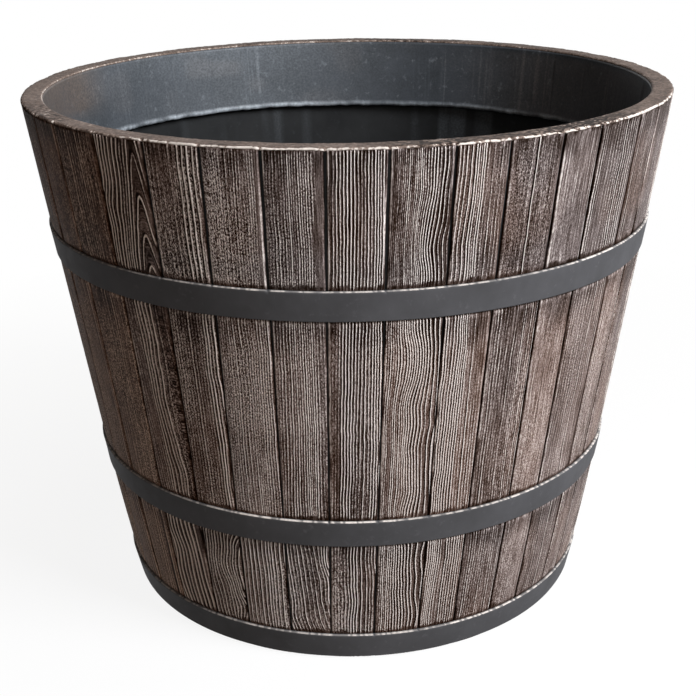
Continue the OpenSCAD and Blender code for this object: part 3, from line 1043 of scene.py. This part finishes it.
def rim_piece():
    """The cap that covers the top ends of the staves."""
    out_r = rim_r - 0.35
    outline = walk(arc(skirt_top_in + 1.4, barrel_h - 1.4, 1.4, 180, 90)
                   + arc(out_r - 1.1, barrel_h - 1.1, 1.1, 90, -10)
                   + [(out_r - 1.6, barrel_h - 1.9), (skirt_top_in + 2, barrel_h - RIM_DEEP),
                      (skirt_top_in, barrel_h - RIM_DEEP)], 0.75)
    turns, ripple, r, z = swept(outline, RIM_STEPS, rim_r)
    edge = step(out_r - 2.2, out_r - 0.4, r) * near_top(1.8, 1.2, z)
    lip = step(out_r - 0.95, out_r - 0.55, r) * near_top(1.5, 1.1, z)
    top = near_top(0.9, 0.2, z)
    notch = joint_nearness(turns, barrel_h, 1.5)
    ragged = ripple(1.5, 0, 900) * 0.5 + ripple(5.5, 1, 901) * 0.5
    r = r + edge * (1.1 * (ragged - 0.6) - 0.6 * notch)
    z = z - edge * (0.6 * ripple(2.3, 2, 902) * ripple(7, 3, 908) + 0.8 * notch)
    dents = 0.22 * (ripple(3.1, r / 1.7, 903) - 0.7) + 0.3 * (ripple(19, r / 9, 904) - 0.85)
    z = np.minimum(z + top * dents, barrel_h)

    # The pale line on the outer lip, beside the notches and, fainter, on the inner edge; painted shade dims
    # the outer one on the left side
    pale = lip * (0.6 + 0.5 * step(0.3, 0.7, ripple(1.6, 5, 905))) * (1 - 0.85 * notch)
    pale = pale * (0.35 + 0.65 * step(0.15, 0.5, ripple(26, 7, 907))) * painted_shade_left(turns) ** 2
    pale = pale * (1 - 0.7 * near_angle(turns, *FADED_DEGREES))
    beside = joint_nearness(turns, barrel_h, 3.0) * (1 - notch) * step(0.5, 0.8, ripple(9, 8, 909))
    pale = np.maximum(pale, beside * step(out_r - 1.8, out_r - 0.8, r) * near_top(1.5, 1.1, z))
    inner = fade(skirt_top_in + 0.3, skirt_top_in + 0.8, r) * near_top(1.3, 0.8, z)
    pale = np.maximum(pale, inner * (0.16 + 0.23 * step(0.2, 0.65, ripple(18, 6, 906))))

    # Lighter on the left, darker on the right and at the back
    tone = 0.15 * step(0.3, 0.9, -np.cos(turns)) - 0.05 * step(0.1, 0.8, np.cos(turns))
    tone = tone - 0.1 * step(0.2, 0.9, np.sin(turns))
    crackle = sum(most * near_angle(turns, middle, width) for middle, width, most in CRACKLED_DEGREES)
    add_piece("rim_cap", ring_mesh("rim", turns, r, z, 16), rim_paint,
              pale=np.clip(pale, 0, 1) + 0.65 * tone, skin=near_top(2.2, 1.2, z),
              crackle=np.broadcast_to(0.12 + 0.88 * crackle, r.shape))


rim_piece()

# %% [markdown]
# ## The skirt inside the rim
# The rim turns down inside and hangs 50 mm as a plain skirt. Its lower edge was trimmed, which left a small
# bead with a slightly uneven line, paler than the rest. Under it the pot is in deep shade. Painted light
# makes the skirt lighter on its left inside and a little lighter on its shaded right.

# %% Skirt
SKIRT_STEPS = 1300
skirt_z = barrel_h - skirt_drop
skirt_low_out = float(side_r(skirt_z)) - wall - skirt_gap
skirt_low_in = skirt_low_out - skirt_t


def skirt_piece():
    """The hanging skirt with its trimmed bead."""
    opening = math.degrees(math.acos(skirt_t / 2 / bead_r))
    outline = walk([(skirt_top_in, barrel_h - 1.5), (skirt_top_in + skirt_t, barrel_h - RIM_DEEP + 1)]
                   + arc(skirt_low_in + skirt_t / 2, skirt_z + bead_r, bead_r, opening, -180 - opening, 14),
                   1.6)
    turns, ripple, r, z = swept(outline, SKIRT_STEPS, rim_r)
    bead = fade(skirt_z + 2.2, skirt_z + 4.8, z)
    low = fade(skirt_z + 2, skirt_z + 9, z)
    z = z + low * (1.5 * (ripple(55, 0, 950) - 0.1) + 0.6 * ripple(5, 1, 951))
    r = r + 0.5 * (ripple(70, z / 40, 952) - 0.5) * (1 - near_top(12, 3, z))
    r = r + 0.12 * (ripple(7, z / 26, 953) - 0.5) * (1 - near_top(8, 3, z))
    seam = joint_nearness(turns, barrel_h, 1.6) * step(0.35, 0.6, ripple(40, 6, 959))
    r = r + 0.45 * seam * (1 - near_top(8, 3, z))

    # Where it is rubbed and dusty, with painted light: the lamp's light on the left inside, also on the bead
    painted_light_left = 0.15 + 0.85 * np.exp(-((np.cos(turns) + 0.45) / 0.5) ** 2)
    rubbed = bead * (0.1 + 0.6 * ripple(12, 2, 954)) * (0.5 + 0.7 * ripple(2, 4, 954))
    near_rim = near_top(26, 4, z + 10 * ripple(35, 3, 955) - 5)
    streak = step(0.72, 0.95, ripple(1.4, z / 60, 956)) * step(0.4, 0.7, ripple(30, 5, 957))
    cloud = step(0.45, 0.85, ripple(26, z / 14, 958))
    far_left = step(0.86, 0.98, -np.cos(turns)) * near_top(40, 20, z + 12 * cloud)
    # Painted fill light: a little lighter and warmer on the shaded right inside
    painted_fill_right = step(0.25, 0.8, np.cos(turns)) * (1 - near_top(6, 2, z))
    dust = (0.42 + 0.2 * near_rim + 0.2 * cloud) * painted_light_left + 0.4 * streak + 0.4 * far_left
    add_piece("inner_skirt", ring_mesh("skirt", turns, r, z, 8), inner_plastic,
              rubbed=rubbed * (0.3 + 0.7 * painted_light_left), dust=np.clip(dust + 0.28 * painted_fill_right, 0, 0.95),
              warm_dust=np.max([far_left, 0.2 * cloud, 0.6 * painted_fill_right], axis=0))


skirt_piece()

# %% [markdown]
# ## Wall, floor and foot
# Behind the relief is the wall that carries it. One outline gives the outside, which shows only at the
# bottom of the joints, the foot, the floor and the inside up to the rim. It starts at the middle drain
# hole. The four other holes are cut with a boolean, the surest way to get clean round holes off the axis.

# %% Wall and floor
WALL_STEPS = 480
RING_HOLES = 4
floor_top = floor_lift + floor_t
corner_z = floor_top + corner_r
wall_top = barrel_h - 2.6


def inner_r(z):
    """Inner radius of the wall at height z."""
    return float(side_r(z)) - wall


def cut_drain_hole(piece, number):
    """Cuts the drain hole of that number in the floor, from 0 round the circle."""
    turn = -math.pi / 2 + 2 * math.pi / RING_HOLES * (number + 0.5)
    bpy.ops.mesh.primitive_cylinder_add(
        vertices=96, radius=drain_r * MM, depth=4 * floor_t * MM,
        location=(drain_ring_r * MM * math.cos(turn), drain_ring_r * MM * math.sin(turn), floor_top * MM))
    post = bpy.context.active_object
    cut = piece.modifiers.new("hole", "BOOLEAN")
    cut.object = post
    bpy.context.view_layer.objects.active = piece
    bpy.ops.object.modifier_apply(modifier=cut.name)
    bpy.data.objects.remove(post)


def wall_piece():
    """The wall, floor and foot in one closed ring, with the drain holes cut."""
    outside = [(float(side_r(z)) - joint_depth, float(z)) for z in np.linspace(wall_top, 0, 40)]
    inside = [(inner_r(z), float(z)) for z in np.linspace(corner_z, wall_top, 30)]
    foot = [(float(side_r(0)) - foot_w, 0.0), (float(side_r(floor_lift)) - foot_w, floor_lift)]
    corner = arc(inner_r(corner_z) - corner_r, corner_z, corner_r, -90, 0, 10)
    outline = walk(outside + foot + [(drain_r, floor_lift), (drain_r, floor_top)] + corner[:-1] + inside, 7.0)
    turns, ripple, r, z = swept(outline, WALL_STEPS, rim_r)
    dust = 0.2 * step(0.4, 0.9, ripple(6, z / 150, 970)) * step(0.2, 0.7, ripple(40, 1, 971))
    piece = add_piece("wall_and_floor", ring_mesh("wall", turns, r, z, 4), wall_plastic,
                      rubbed=np.zeros(r.size), dust=dust * step(corner_z, corner_z + 90, z))
    for number in range(RING_HOLES):
        cut_drain_hole(piece, number)
    piece.data.set_sharp_from_angle(angle=math.radians(35))
    print("after the cuts it has", len(piece.data.polygons), "faces")


wall_plastic = charcoal("dark_moulded_plastic", "#1b1c1d", "#272829", "#333638", "#2c2b2b", 0.55, 0.1)
wall_piece()

# %% [markdown]
# ## Drain plugs
# The plugs are push-in pieces of black rubber. Their CAD shapes are right as they are, so they only get a
# material: natural rubber has an index of refraction near 1.52, a matt skin and a dusty bloom.

# %% Rubber
RUBBER_IOR = 1.52
rubber, tree, shader = new_material("black_rubber", RUBBER_IOR, 0.4)
bloom = spots(tree, 6, 4.0)
colour = ramp(tree, bloom, (0.3, "#191919"), (0.75, "#2e2e2d"))
dress(tree, shader, colour, remap(tree, bloom, 0.3, 0.7, 0.62, 0.8), spots(tree, 0.8, 2.0), 0.3, 0.1)
for name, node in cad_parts.items():
    if name.startswith("drain_plug"):
        node.data.materials.clear()
        node.data.materials.append(rubber)
        print(name, "is rubber")

# %% [markdown]
# ## The finished model's size
# The colours are shown without a film look, and the box round all the shown pieces is measured. The
# visual model has to stay inside the CAD model's box.

# %% Sizes
bpy.context.scene.view_settings.view_transform = "Standard"
low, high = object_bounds()
